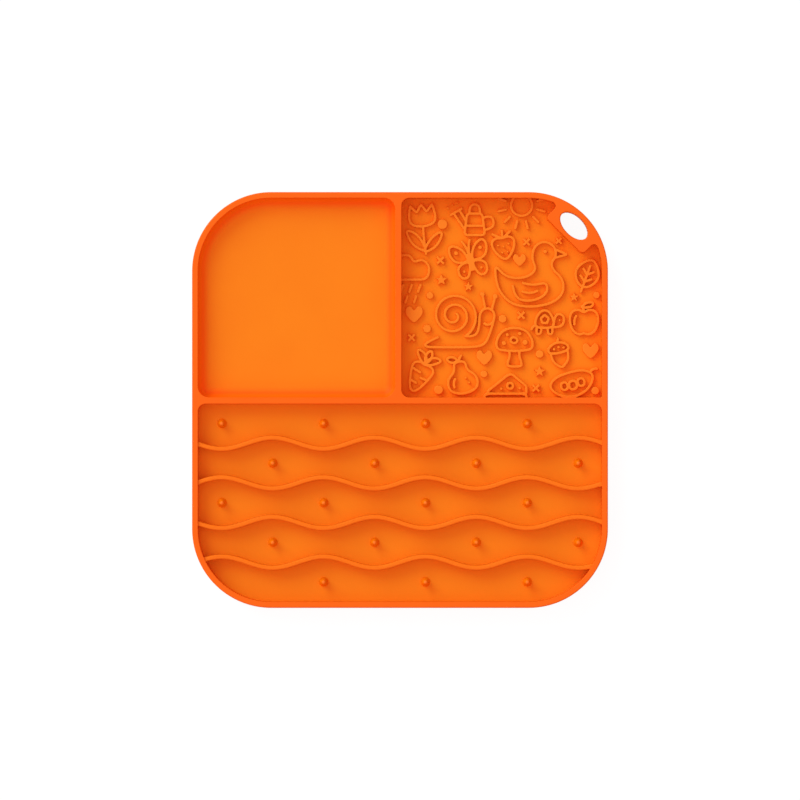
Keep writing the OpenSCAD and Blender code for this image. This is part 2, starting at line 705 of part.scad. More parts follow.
// The nubs of channel i: every other place, and shifted by one place from row to row
module nub_row(i) {
    y = field_y - (i - 0.5) * channel_l;
    color(RIDGE_COLOUR)
        for (k = [(i + 1) % 2:2:nub_places - 1])
            if (clear_of_rim([nub_x0 + k * nub_step, y]))
                translate([nub_x0 + k * nub_step, y, floor_z])
                    nub();
}

// A suction cup with its lip on z = 0
module suction_cup() {
    hollow_r = cup_d / 2 - lip_land;
    ball_r = (pow(hollow_r, 2) + pow(cup_hollow, 2)) / (2 * cup_hollow);
    difference() {
        union() {
            cylinder(lip_edge, d = cup_d, $fn = fine);
            translate([0, 0, lip_edge])
                cylinder(cup_h - lip_edge, d1 = cup_d, d2 = cup_neck_d, $fn = fine);
        }
        translate([0, 0, cup_hollow - ball_r])
            sphere(ball_r, $fn = fine);
    }
}
// A row of cups, counted from the mat's lower edge
module suction_cups(i) {
    color(CUP_COLOUR)
        for (k = [1:cups_across])
            translate([k - (cups_across + 1) / 2, i - (cups_across + 1) / 2] * cup_pitch)
                suction_cup();
}

// The relief pictures and fillers, standing on the sheet and cut off at the pocket's walls
module relief() {
    on_sheet(relief_h, MAT_COLOUR)
        intersection() {
            pocket_plan();
            children();
        }
}
module relief_duck() { relief() picture(duck_shares, duck_place_share); }
module relief_snail() { relief() picture(snail_shares, snail_place_share); }
module relief_mushroom() { relief() picture(mushroom_shares, mushroom_place_share); }
module relief_carrot() { relief() picture(carrot_shares, carrot_place_share); }
module relief_apple() { relief() picture(apple_shares, apple_place_share); }
module relief_pear() { relief() picture(pear_shares, pear_place_share); }
module relief_tulip() { relief() picture(tulip_shares, tulip_place_share); }
module relief_butterfly() { relief() picture(butterfly_shares, butterfly_place_share); }
module relief_leaf() { relief() picture(leaf_shares, leaf_place_share); }
module relief_acorn() { relief() picture(acorn_shares, acorn_place_share); }
module relief_cloud() { relief() picture(cloud_shares, cloud_place_share); }
module relief_sun() { relief() picture(sun_shares, sun_place_share); }
module relief_cheese() { relief() picture(cheese_shares, cheese_place_share); }
module relief_pea_pod() { relief() picture(pea_pod_shares, pea_pod_place_share); }
module relief_watering_can() { relief() picture(watering_can_shares, watering_can_place_share); }
module relief_turtle() { relief() picture(turtle_shares, turtle_place_share); }
module relief_strawberry() { relief() picture(strawberry_shares, strawberry_place_share); }
module relief_hearts() { relief() fillers(heart_place_shares, "heart"); }
module relief_stars() { relief() fillers(star_place_shares, "star"); }
module relief_crosses() { relief() fillers(cross_place_shares, "cross"); }
module relief_dots() { relief() fillers(dot_place_shares, "dot"); }

base_sheet();
outer_rim();
hanging_tab();
cross_wall();
short_wall();
tray_cove();
wave_ridge(1);  // wave_ridge_1
wave_ridge(2);  // wave_ridge_2
wave_ridge(3);  // wave_ridge_3
wave_ridge(4);  // wave_ridge_4
nub_row(1);  // nub_row_1
nub_row(2);  // nub_row_2
nub_row(3);  // nub_row_3
nub_row(4);  // nub_row_4
nub_row(5);  // nub_row_5
relief_duck();
relief_snail();
relief_mushroom();
relief_carrot();
relief_apple();
relief_pear();
relief_tulip();
relief_butterfly();
relief_leaf();
relief_acorn();
relief_cloud();
relief_sun();
relief_cheese();
relief_pea_pod();
relief_watering_can();
relief_turtle();
relief_strawberry();
relief_hearts();
relief_stars();
relief_crosses();
relief_dots();
suction_cups(1);  // suction_cups_1
suction_cups(2);  // suction_cups_2
suction_cups(3);  // suction_cups_3
suction_cups(4);  // suction_cups_4
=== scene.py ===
"""The looks of the silicone lick mat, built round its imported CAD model. All lengths are in metres."""

import math

import bmesh
import bpy
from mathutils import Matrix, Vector
from mathutils.bvhtree import BVHTree
from mathutils.geometry import tessellate_polygon


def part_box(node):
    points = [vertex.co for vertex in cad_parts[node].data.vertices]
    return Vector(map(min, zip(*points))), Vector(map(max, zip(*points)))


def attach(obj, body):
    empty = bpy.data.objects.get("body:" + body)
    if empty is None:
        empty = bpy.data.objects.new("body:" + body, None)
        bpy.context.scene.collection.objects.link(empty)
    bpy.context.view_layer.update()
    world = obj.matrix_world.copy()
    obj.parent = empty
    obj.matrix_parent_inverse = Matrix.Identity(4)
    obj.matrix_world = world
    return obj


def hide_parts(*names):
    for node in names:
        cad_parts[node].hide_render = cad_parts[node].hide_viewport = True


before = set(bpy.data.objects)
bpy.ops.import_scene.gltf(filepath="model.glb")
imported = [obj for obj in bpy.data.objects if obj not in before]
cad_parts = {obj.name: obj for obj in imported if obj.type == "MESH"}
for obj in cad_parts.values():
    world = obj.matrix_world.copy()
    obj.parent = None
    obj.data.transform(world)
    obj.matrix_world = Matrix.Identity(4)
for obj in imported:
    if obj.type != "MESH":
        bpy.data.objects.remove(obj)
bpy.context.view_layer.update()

# Levels and outline, read from the frame
SHEET_LOW, SHEET_HIGH = (corner.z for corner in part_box("base_sheet"))
RIM_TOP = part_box("outer_rim")[1].z
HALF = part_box("base_sheet")[1].x
INNER_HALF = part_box("cross_wall")[1].x
COVE_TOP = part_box("tray_cove")[1].z
RIDGE_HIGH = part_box("wave_ridge_1")[1].z
NUB_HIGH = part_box("nub_row_1")[1].z
RELIEF_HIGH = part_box("relief_duck")[1].z

# Plan sizes that the frame doesn't name
CORNER_R = 0.038
TRAY_CORNER_R = 0.0055
POCKET_CORNER_R = 0.0038
SHARP_CORNER_R = 0.0007
TRAY_SIDE_X = -0.0023
RELIEF_SIDE_X = 0.0007
TRAY_SIDE_Y = 0.0012
FIELD_SIDE_Y = -0.0018
EYE_LONG = 0.0163
EYE_SHORT = 0.0092
EYE_WALL = 0.0027
TAB_W = 0.025
TAB_WEB = 0.0021
TAB_CORNER_R = 0.002

# Radii that the mould leaves on edges and in corners
WALL_EDGE_R = 0.00025
OUTER_EDGE_R = 0.0007
FOOT_R = 0.0004
SHEET_EDGE_R = 0.0006
RIDGE_EDGE_R = 0.0007
RIDGE_FOOT_R = 0.0003
RELIEF_EDGE_R = 0.00035
RELIEF_FOOT_R = 0.00012
NUB_FOOT_R = 0.0004

# Nubs and suction cups
NUB_TIP_R = 0.0010
CUP_LAND = 0.0008
CUP_HOLLOW = 0.0016
CUP_LIP = 0.0005
CUP_NECK_R = 0.0045
CUP_NECK_FILLET = 0.0006

# Reach of cuts and tests
CLOSE = 1e-7
NEAR_FACE = 0.00006
CUT_MARGIN = 0.001
CORNER_SHARE = 0.45
NECK_SHARE = 0.45
NECK_REACH = 4

# Steps in curves
BIG_ARC = 36
SMALL_ARC = 10
ROUND_STEPS = 5
RELIEF_FOOT_STEPS = 3
RELIEF_EDGE_STEPS = 4
EYE_STEPS = 72
TURN_STEPS = 48
DOME_STEPS = 10

RIM_W = HALF - INNER_HALF
ARC_MID = HALF - CORNER_R
INNER_R = CORNER_R - RIM_W
DIAGONAL = math.radians(45)
ARC_MID_U = ARC_MID * math.sqrt(2)
EYE_U = ARC_MID_U + CORNER_R - EYE_WALL - EYE_SHORT / 2
TAB_U = EYE_U - EYE_SHORT / 2 - TAB_WEB
COVE_R = COVE_TOP - SHEET_HIGH


# Plan outlines, as lists of points that go round anticlockwise

def arc(x, y, r, start, end, steps=SMALL_ARC):
    """Points on an arc, from a start angle to an end angle in degrees."""
    angles = [math.radians(start + (end - start) * i / steps) for i in range(steps + 1)]
    return [Vector((x + r * math.cos(a), y + r * math.sin(a))) for a in angles]


def off_diagonal(u, v):
    """A point from its places along and across the diagonal through the eye's corner."""
    c, s = math.cos(DIAGONAL), math.sin(DIAGONAL)
    return u * c - v * s, u * s + v * c


def mat_outline():
    points = []
    for x, y, start in ((1, 1, 0), (-1, 1, 90), (-1, -1, 180), (1, -1, 270)):
        points += arc(x * ARC_MID, y * ARC_MID, CORNER_R, start, start + 90, BIG_ARC)
    return points


def tray_outline():
    r = TRAY_CORNER_R
    return (
        arc(-INNER_HALF + r, TRAY_SIDE_Y + r, r, 180, 270)
        + arc(TRAY_SIDE_X - r, TRAY_SIDE_Y + r, r, 270, 360)
        + arc(TRAY_SIDE_X - r, INNER_HALF - r, r, 0, 90)
        + arc(-ARC_MID, ARC_MID, INNER_R, 90, 180, BIG_ARC)
    )


def field_outline():
    r = POCKET_CORNER_R
    return (
        arc(-ARC_MID, -ARC_MID, INNER_R, 180, 270, BIG_ARC)
        + arc(ARC_MID, -ARC_MID, INNER_R, 270, 360, BIG_ARC)
        + arc(INNER_HALF - r, FIELD_SIDE_Y - r, r, 0, 90)
        + arc(-INNER_HALF + r, FIELD_SIDE_Y - r, r, 90, 180)
    )


def pocket_outline():
    """The relief pocket, which runs round the tab with the eye."""
    r, t = POCKET_CORNER_R, TAB_CORNER_R
    lobe_v = TAB_W / 2 + t
    lobe_u = ARC_MID_U + math.sqrt((INNER_R - t) ** 2 - lobe_v ** 2)
    lobe_turn = math.degrees(math.atan2(lobe_v, lobe_u - ARC_MID_U))
    corner_u, corner_v = TAB_U + t, TAB_W / 2 - t
    sharp = SHARP_CORNER_R
    return (
        arc(RELIEF_SIDE_X + r, TRAY_SIDE_Y + r, r, 180, 270)
        + arc(INNER_HALF - sharp, TRAY_SIDE_Y + sharp, sharp, 270, 360)
        + arc(ARC_MID, ARC_MID, INNER_R, 0, 45 - lobe_turn, BIG_ARC // 3)
        + arc(*off_diagonal(lobe_u, -lobe_v), t, 45 - lobe_turn, 135)[1:]
        + arc(*off_diagonal(corner_u, -corner_v), t, 315, 225)
        + arc(*off_diagonal(corner_u, corner_v), t, 225, 135)
        + arc(*off_diagonal(lobe_u, lobe_v), t, -45, 45 + lobe_turn)
        + arc(ARC_MID, ARC_MID, INNER_R, 45 + lobe_turn, 90, BIG_ARC // 3)[1:]
        + arc(RELIEF_SIDE_X + r, INNER_HALF - r, r, 90, 180)
    )


def eye_outline():
    turns = [2 * math.pi * i / EYE_STEPS for i in range(EYE_STEPS)]
    return [
        Vector(off_diagonal(EYE_U + EYE_SHORT / 2 * math.cos(a), EYE_LONG / 2 * math.sin(a)))
        for a in turns
    ]


def hole(points):
    """An outline turned round, so that the material lies on its left."""
    return points[::-1]


# Meshes

LONGEST_MITRE = 1.6
HAIRPIN = 0.2
COS_SHARP = math.cos(math.radians(38))
LEVEL_ERROR = 1e-6


def into_material(points):
    """For each point of a closed outline, the step into the material, mitred where it bends."""
    steps = []
    n = len(points)
    for i, p in enumerate(points):
        before = (p - points[i - 1]).normalized()
        after = (points[(i + 1) % n] - p).normalized()
        left = Vector((-before.y, before.x)), Vector((-after.y, after.x))
        total = left[0] + left[1]
        size = total.length
        if size < HAIRPIN:
            steps.append(left[1] * LONGEST_MITRE)
        else:
            steps.append(total / size * min(2 / size, LONGEST_MITRE))
    return steps


def without_repeats(points):
    return [p for i, p in enumerate(points) if (p - points[i - 1]).length > CLOSE]


def add_loft(bm, outlines, sections, share=None, caps=None):
    """A closed solid round outlines. Each outline has a section: (step into the material, height)
    pairs from bottom to top. Share gives the part of its step that a point may take. Caps are
    triangles between the outlines' points, where they are known."""
    bottoms, tops = [], []
    for outline, section in zip(outlines, sections):
        points = without_repeats(outline)
        steps = into_material(points)
        if share:
            steps = [s * share(p, s) for p, s in zip(points, steps)]
        rings = [
            [bm.verts.new((*(p + inset * s), z)) for p, s in zip(points, steps)]
            for inset, z in section
        ]
        for low, high in zip(rings, rings[1:]):
            for i in range(len(points)):
                j = (i + 1) % len(points)
                bm.faces.new((low[i], low[j], high[j], high[i]))
        bottoms.append(rings[0])
        tops.append(rings[-1])
    for loops in (bottoms, tops):
        flat = [v for loop in loops for v in loop]
        for triangle in caps or tessellate_polygon([[v.co for v in loop] for loop in loops]):
            bm.faces.new([flat[i] for i in triangle])


def add_lathe(bm, x, y, profile, steps=TURN_STEPS):
    """A closed solid turned round an upright axis, on which the profile starts and ends."""
    ends = [bm.verts.new((x, y, profile[i][1])) for i in (0, -1)]
    rings = []
    for r, z in profile[1:-1]:
        turns = [2 * math.pi * i / steps for i in range(steps)]
        rings.append([bm.verts.new((x + r * math.cos(a), y + r * math.sin(a), z)) for a in turns])
    for i in range(steps):
        j = (i + 1) % steps
        bm.faces.new((ends[0], rings[0][i], rings[0][j]))
        bm.faces.new((ends[1], rings[-1][j], rings[-1][i]))
        for low, high in zip(rings, rings[1:]):
            bm.faces.new((low[i], high[i], high[j], low[j]))


def edge_section(r, top, steps=ROUND_STEPS):
    """The rounded top edge of a wall, from the wall's face to its flat top."""
    turns = [math.pi / 2 * i / steps for i in range(steps + 1)]
    return [(r * (1 - math.cos(a)), top - r + r * math.sin(a)) for a in turns]


def foot_section(r, floor, steps=ROUND_STEPS):
    """The hollow round where a wall runs into the floor, from the floor to the wall's face."""
    turns = [math.pi / 2 * i / steps for i in range(steps + 1)]
    return [(-r * (1 - math.sin(a)), floor + r * (1 - math.cos(a))) for a in turns]


def finished(name, bm):
    """A mesh object from a bmesh, shaded smooth over its rounds and sharp at its joints."""
    bmesh.ops.recalc_face_normals(bm, faces=bm.faces)
    mesh = bpy.data.meshes.new(name)
    bm.to_mesh(mesh)
    bm.free()
    piece = bpy.data.objects.new(name, mesh)
    bpy.context.scene.collection.objects.link(piece)
    smooth(piece)
    return piece


def smooth(piece):
    """Shades a piece smooth over its rounds and sharp at its joints. Each corner takes the mean of the
    faces there that turn little from its own, by their size, and is level where one of them is."""
    mesh = piece.data
    mesh.shade_smooth()
    around = [[] for _ in mesh.vertices]
    for face in mesh.polygons:
        for v in face.vertices:
            around[v].append((face.normal.copy(), face.area))
    normals = [None] * len(mesh.loops)
    for face in mesh.polygons:
        own = face.normal
        for i, v in zip(face.loop_indices, face.vertices):
            near = [(n, area) for n, area in around[v] if n.dot(own) > COS_SHARP]
            level = [n for n, _ in near if abs(n.z) > 1 - LEVEL_ERROR]
            mean = level[0] if level else sum((n * area for n, area in near), Vector())
            normals[i] = mean.normalized() if mean.length > 0 else own.copy()
    mesh.normals_split_custom_set(normals)


def flat_top(node):
    """The outlines of a CAD node's flat top, with its material on their left, and its triangles."""
    bm = bmesh.new()
    bm.from_mesh(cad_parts[node].data)
    bmesh.ops.remove_doubles(bm, verts=bm.verts, dist=CLOSE)
    top = max(v.co.z for v in bm.verts)
    flat = {f for f in bm.faces if all(top - v.co.z < CLOSE for v in f.verts)}
    follows = {}
    for face in flat:
        for loop in face.loops:
            if not any(f in flat for f in loop.edge.link_faces if f is not face):
                follows[loop.vert] = loop.link_loop_next.vert
    outlines, numbers = [], {}
    while follows:
        start = next(iter(follows))
        outline, vert = [], start
        while vert in follows:
            numbers[vert] = len(numbers)
            outline.append(vert.co.xy.copy())
            vert = follows.pop(vert)
        outlines.append(outline)
    caps = [[numbers[v] for v in triangle] for face in flat for triangle in fan(face.verts)]
    bm.free()
    return outlines, caps


def fan(corners):
    return [(corners[0], corners[i], corners[i + 1]) for i in range(1, len(corners) - 1)]


def room(node, r, held):
    """For a round of radius r on a CAD node's top edge, the share of its step that a plan point may
    take: none where it is held, and less than all where the material is narrow."""
    bm = bmesh.new()
    bm.from_mesh(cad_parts[node].data)
    tree = BVHTree.FromBMesh(bm)
    bm.free()
    low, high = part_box(node)

    def share(point, step):
        if held(point):
            return 0
        way = Vector((*step, 0)).normalized()
        start = Vector((*point, (low.z + high.z) / 2)) + way * CLOSE * 10
        across = tree.ray_cast(start, way, NECK_REACH * r)[3]
        return 1 if across is None else min(1, NECK_SHARE * across / (r * step.length))

    return share


def dressed(piece, node, material):
    """Puts a piece in the place of its CAD node."""
    piece.data.materials.clear()
    piece.data.materials.append(material)
    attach(piece, "root")
    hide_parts(node)
    return piece


# Silicone

# Painted light in creases, by the share of the sky that a place sees
CREASE_REACH = 0.012
CREASE_SAMPLES = 2
CREASE_FROM = 0.95
CREASE_TO = 0.45

# Noises: scale and detail, and the span of the noise that is used
CLOUDS = 45, 3
SMEARS = 700, 2
GRAIN = 2600, 2
NOISE_SPAN = 0.3, 0.7
CLOUD_TINT = 0.985, 0.95, 0.92
ROUGHNESS_SWING = 0.05
GRAIN_DEPTH = 0.00004
GLOSS_LEVEL = 0.10
WHITE = 1, 1, 1


def silicone(name, colours, roughness, grain, *turns):
    """Moulded silicone: a faint cloudiness in the colour, a fine matt grain and a slightly uneven
    gloss. Colours are one for open places and one for creases; the crease colour is painted light,
    which stands in for light that goes round inside the silicone where the sky is hidden. Each
    turn, of (colours, axis, start, end, power), changes both to its own between two places on an
    axis of the part."""
    material = bpy.data.materials.new(name)
    material.use_nodes = True
    nodes, links = material.node_tree.nodes, material.node_tree.links
    shader = nodes["Principled BSDF"]
    place = nodes.new("ShaderNodeTexCoord")

    def noise(scale, detail):
        texture = nodes.new("ShaderNodeTexNoise")
        texture.inputs["Scale"].default_value = scale
        texture.inputs["Detail"].default_value = detail
        links.new(place.outputs["Object"], texture.inputs["Vector"])
        return texture.outputs["Fac"]

    def spread(value, start, end, low=0, high=1):
        span = nodes.new("ShaderNodeMapRange")
        span.inputs["From Min"].default_value = start
        span.inputs["From Max"].default_value = end
        span.inputs["To Min"].default_value = low
        span.inputs["To Max"].default_value = high
        links.new(value, span.inputs["Value"])
        return span.outputs["Result"]

    def mixed(factor, a, b):
        mix = nodes.new("ShaderNodeMix")
        mix.data_type = "RGBA"
        links.new(factor, mix.inputs["Factor"])
        for socket, value in (("A", a), ("B", b)):
            if isinstance(value, bpy.types.NodeSocket):
                links.new(value, mix.inputs[socket])
            else:
                mix.inputs[socket].default_value = (*value, 1)
        return mix.outputs["Result"]

    for next_colours, axis, start, end, power in turns:
        along = nodes.new("ShaderNodeSeparateXYZ")
        links.new(place.outputs["Object"], along.inputs["Vector"])
        share = nodes.new("ShaderNodeMath")
        share.operation = "POWER"
        share.inputs[1].default_value = power
        links.new(spread(along.outputs[axis], start, end), share.inputs[0])
        colours = [mixed(share.outputs["Value"], a, b) for a, b in zip(colours, next_colours)]
    # Painted light: the colour turns to the crease colour where the sky is hidden, in place of light
    # that goes round inside the silicone
    sky = nodes.new("ShaderNodeAmbientOcclusion")
    sky.samples = CREASE_SAMPLES
    sky.inputs["Distance"].default_value = CREASE_REACH
    crease_painted_light = mixed(spread(sky.outputs["AO"], CREASE_FROM, CREASE_TO), *colours)
    clouds = mixed(spread(noise(*CLOUDS), *NOISE_SPAN), CLOUD_TINT, WHITE)
    clouded = nodes.new("ShaderNodeMix")
    clouded.data_type = "RGBA"
    clouded.blend_type = "MULTIPLY"
    clouded.inputs["Factor"].default_value = 1
    links.new(crease_painted_light, clouded.inputs["A"])
    links.new(clouds, clouded.inputs["B"])
    links.new(clouded.outputs["Result"], shader.inputs["Base Color"])
    low, high = roughness - ROUGHNESS_SWING, roughness + ROUGHNESS_SWING
    links.new(spread(noise(*SMEARS), *NOISE_SPAN, low, high), shader.inputs["Roughness"])

    bump = nodes.new("ShaderNodeBump")
    bump.inputs["Strength"].default_value = grain
    bump.inputs["Distance"].default_value = GRAIN_DEPTH
    links.new(noise(*GRAIN), bump.inputs["Height"])
    links.new(bump.outputs["Normal"], shader.inputs["Normal"])
    shader.inputs["Specular IOR Level"].default_value = GLOSS_LEVEL
    return material


def even(*colour):
    """One colour for open places and creases alike."""
    return colour, colour


def from_level(colours, level, start, end, power=1):
    """A turn to other colours between two heights above a level, or below it if negative."""
    return colours, "Z", level + start, level + end, power


# Colours in open places and in creases; the crease colours are painted light
# The level faces' colours hold more blue than the steep faces': a painted reflection of the light from
# above
WALL_TOP = even(0.96, 0.126, 0.0045)
FLOOR = (0.93, 0.204, 0.0050), (0.98, 0.188, 0.003)
FIELD = (0.89, 0.198, 0.0048), (0.95, 0.204, 0.004)
# The cove turns deep red from the floor upwards and paler again near its top: painted shade, which also
# stands for the thicker silicone there
COVE = even(1.00, 0.115, 0.0003)
COVE_EDGE = even(1.00, 0.135, 0.0004)
RIDGE_TOP = even(0.94, 0.160, 0.0045)
# The nubs' tips and the relief lines' tops are lighter and bluer than their sides: a painted highlight,
# brightest on the nubs' tips
NUB_TIP_HIGHLIGHT = even(1.00, 0.180, 0.0170)
RELIEF_TOP = (0.95, 0.202, 0.0110), (0.98, 0.200, 0.0090)
CUP = (0.88, 0.120, 0.003), (0.88, 0.100, 0.002)

# Colours of the steep faces, darker than the tops above them: painted shade
WALL_FLANK = even(0.88, 0.135, 0.001)
RIDGE_FLANK = even(0.82, 0.138, 0.001)
NUB_FLANK = even(0.90, 0.185, 0.0005)

# Roughness and strength of the grain
WALL_FINISH = 0.55, 0.35
FLOOR_FINISH = 0.58, 0.35
RIDGE_FINISH = 0.52, 0.30
RELIEF_FINISH = 0.55, 0.30
CUP_FINISH = 0.42, 0.20

# Where a colour starts and ends its turn: heights from a level, and for the field places along Y
WALL_TURN = -0.0004, -0.0001
RIDGE_TURN = -0.0012, -0.0004
NUB_TURN = -0.0008, -0.0001
RELIEF_TURN = -0.0006, -0.0001
SHEET_SIDE_TURN = -0.0001, -0.0002
COVE_TURN = 0, 0.0007, 0.5
COVE_EDGE_TURN = 0.0008, 0.0020
FIELD_TURN = 0, -0.001, 1

# Each piece turns with height from its steep faces' painted shade to its lighter top; the sheet's side
# takes the walls' painted shade
WALL_SILICONE = silicone(
    "wall_silicone", WALL_FLANK, *WALL_FINISH,
    from_level(WALL_TOP, RIM_TOP, *WALL_TURN),
)
FLOOR_SILICONE = silicone(
    "floor_silicone", FLOOR, *FLOOR_FINISH,
    (FIELD, "Y", *FIELD_TURN),
    from_level(WALL_FLANK, SHEET_HIGH, *SHEET_SIDE_TURN),
)
COVE_SILICONE = silicone(
    "cove_silicone", FLOOR, *FLOOR_FINISH,
    from_level(COVE, SHEET_HIGH, *COVE_TURN),
    from_level(COVE_EDGE, SHEET_HIGH, *COVE_EDGE_TURN),
)
RIDGE_SILICONE = silicone(
    "ridge_silicone", RIDGE_FLANK, *RIDGE_FINISH,
    from_level(RIDGE_TOP, RIDGE_HIGH, *RIDGE_TURN),
)
NUB_SILICONE = silicone(
    "nub_silicone", NUB_FLANK, *RIDGE_FINISH,
    from_level(NUB_TIP_HIGHLIGHT, NUB_HIGH, *NUB_TURN),
)
RELIEF_SILICONE = silicone(
    "relief_silicone", RIDGE_FLANK, *RELIEF_FINISH,
    from_level(RELIEF_TOP, RELIEF_HIGH, *RELIEF_TURN),
)
CUP_SILICONE = silicone("cup_silicone", CUP, *CUP_FINISH)


# The sheet

def base_sheet():
    bm = bmesh.new()
    r = SHEET_EDGE_R
    turns = [math.pi / 2 * i / ROUND_STEPS for i in range(ROUND_STEPS + 1)]
    under_edge = [(r * (1 - math.sin(a)), SHEET_LOW + r * (1 - math.cos(a))) for a in turns]
    section = under_edge + [(0, SHEET_HIGH)]
    add_loft(bm, [mat_outline(), hole(eye_outline())], [section, section])
    return dressed(finished("moulded_base_sheet", bm), "base_sheet", FLOOR_SILICONE)


# The walls: one network with rounded edges, parted where the CAD pieces meet

def wall_network():
    edge = edge_section(WALL_EDGE_R, RIM_TOP)
    outer = [(0, SHEET_HIGH)] + edge_section(OUTER_EDGE_R, RIM_TOP, 2 * ROUND_STEPS)
    plain = [(0, SHEET_HIGH)] + edge
    footed = foot_section(FOOT_R, SHEET_HIGH) + edge
    holes = [hole(o) for o in (tray_outline(), pocket_outline(), field_outline(), eye_outline())]
    bm = bmesh.new()
    add_loft(bm, [mat_outline()] + holes, [outer, plain, footed, footed, outer])
    return finished("wall_network", bm)


def prism(name, points, low, high):
    bm = bmesh.new()
    add_loft(bm, [points], [[(0, low), (0, high)]])
    return finished(name, bm)


def boxed(x0, x1, y0, y1):
    return [Vector(p) for p in ((x0, y0), (x1, y0), (x1, y1), (x0, y1))]


def parted(piece, cutter, name):
    """Splits what lies in the cutter off a piece, and returns it as a piece of its own."""
    taken = piece.copy()
    taken.data = piece.data.copy()
    taken.name = name
    bpy.context.scene.collection.objects.link(taken)
    for target, operation in ((taken, "INTERSECT"), (piece, "DIFFERENCE")):
        target.modifiers.clear()
        cut = target.modifiers.new("cut", "BOOLEAN")
        cut.operation = operation
        cut.solver = "EXACT"
        cut.object = cutter
        bpy.context.view_layer.update()
        cut_piece = target.evaluated_get(bpy.context.evaluated_depsgraph_get())
        result = bpy.data.meshes.new_from_object(cut_piece)
        target.modifiers.clear()
        target.data = result
        smooth(target)
    bpy.data.objects.remove(cutter)
    return taken


def walls():
    rim = wall_network()
    up, down = TRAY_CORNER_R * CORNER_SHARE, POCKET_CORNER_R * CORNER_SHARE
    cross_top = TRAY_SIDE_Y + up
    cross_plan = boxed(-INNER_HALF, INNER_HALF, FIELD_SIDE_Y - down, cross_top)
    short_plan = boxed(TRAY_SIDE_X - up, RELIEF_SIDE_X + down, cross_top - CLOSE, INNER_HALF)
    reach = math.degrees(math.asin((TAB_W / 2 + TAB_CORNER_R * CORNER_SHARE) / INNER_R))
    tab_v = TAB_W / 2 + TAB_CORNER_R
    tab_plan = arc(ARC_MID, ARC_MID, INNER_R, 45 - reach, 45 + reach, BIG_ARC)
    tab_plan += [Vector(off_diagonal(TAB_U - TAB_WEB, v)) for v in (tab_v, -tab_v)]
    plans = ("cross_wall", cross_plan), ("short_wall", short_plan), ("hanging_tab", tab_plan)
    for node, plan in plans:
        cutter = prism("cutter", plan, SHEET_HIGH - CUT_MARGIN, RIM_TOP + CUT_MARGIN)
        piece = parted(rim, cutter, "moulded_" + node)
        dressed(piece, node, WALL_SILICONE)
    rim.name = "moulded_outer_rim"
    dressed(rim, "outer_rim", WALL_SILICONE)


# The cove round the tray's floor

def tray_cove():
    points = without_repeats(hole(tray_outline()))
    steps = into_material(points)
    turns = [math.pi / 2 * i / DOME_STEPS for i in range(DOME_STEPS + 1)]
    section = [
        (-COVE_R * (1 - math.cos(a)), SHEET_HIGH + COVE_R * (1 - math.sin(a)))
        for a in turns
    ]
    section.append((0, SHEET_HIGH))
    bm = bmesh.new()
    rings = [
        [bm.verts.new((*(p + inset * s), z)) for p, s in zip(points, steps)]
        for inset, z in section
    ]
    n = len(points)
    for low, high in zip(rings, rings[1:] + rings[:1]):
        for i in range(n):
            bm.faces.new((low[i], low[(i + 1) % n], high[(i + 1) % n], high[i]))
    return dressed(finished("moulded_tray_cove", bm), "tray_cove", COVE_SILICONE)


# The ridge field

def on_rim(p):
    """Whether a plan point lies on the rim's inner face."""
    dx, dy = max(abs(p.x) - ARC_MID, 0), max(abs(p.y) - ARC_MID, 0)
    return math.hypot(dx, dy) > INNER_R - NEAR_FACE


def wave_ridge(node):
    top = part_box(node)[1].z
    section = foot_section(RIDGE_FOOT_R, SHEET_HIGH) + edge_section(RIDGE_EDGE_R, top)
    bm = bmesh.new()
    outlines, caps = flat_top(node)
    add_loft(bm, outlines, [section] * len(outlines), room(node, RIDGE_EDGE_R, on_rim), caps)
    return dressed(finished("moulded_" + node, bm), node, RIDGE_SILICONE)


def islands(node):
    """The plan boxes of a CAD node's separate solids, as (centre, half width) pairs."""
    bm = bmesh.new()
    bm.from_mesh(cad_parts[node].data)
    bmesh.ops.remove_doubles(bm, verts=bm.verts, dist=CLOSE)
    left, found = set(bm.verts), []
    while left:
        reached, waiting = set(), [left.pop()]
        while waiting:
            vert = waiting.pop()
            reached.add(vert)
            for edge in vert.link_edges:
                other = edge.other_vert(vert)
                if other in left:
                    left.remove(other)
                    waiting.append(other)
        xs, ys = [v.co.x for v in reached], [v.co.y for v in reached]
        middle = (min(xs) + max(xs)) / 2, (min(ys) + max(ys)) / 2
        found.append((*middle, (max(xs) - min(xs)) / 2))
    bm.free()
    return sorted(found)


def nub_row(node):
    low, high = (corner.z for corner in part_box(node))
    bm = bmesh.new()
    for x, y, foot_r in islands(node):
        shoulder = high - NUB_TIP_R
        foot = [(foot_r - NUB_FOOT_R - inset, z) for inset, z in foot_section(NUB_FOOT_R, low)]
        turns = [math.pi / 2 * k / DOME_STEPS for k in range(DOME_STEPS)]
        tip = [(NUB_TIP_R * math.cos(a), shoulder + NUB_TIP_R * math.sin(a)) for a in turns]
        add_lathe(bm, x, y, [(0, low)] + foot + tip + [(0, high)])
    return dressed(finished("moulded_" + node, bm), node, NUB_SILICONE)


# The relief

def on_pocket_wall(p):
    """Whether a plan point lies on a wall of the relief pocket."""
    return (
        p.x < RELIEF_SIDE_X + NEAR_FACE
        or p.y < TRAY_SIDE_Y + NEAR_FACE
        or p.y > INNER_HALF - NEAR_FACE
        or on_rim(p)
    )


def relief(node):
    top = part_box(node)[1].z
    foot = foot_section(RELIEF_FOOT_R, SHEET_HIGH, RELIEF_FOOT_STEPS)
    section = foot + edge_section(RELIEF_EDGE_R, top, RELIEF_EDGE_STEPS)
    bm = bmesh.new()
    outlines, caps = flat_top(node)
    add_loft(bm, outlines, [section] * len(outlines), room(node, RELIEF_EDGE_R, on_pocket_wall), caps)
    return dressed(finished("moulded_" + node, bm), node, RELIEF_SILICONE)


# The suction cups

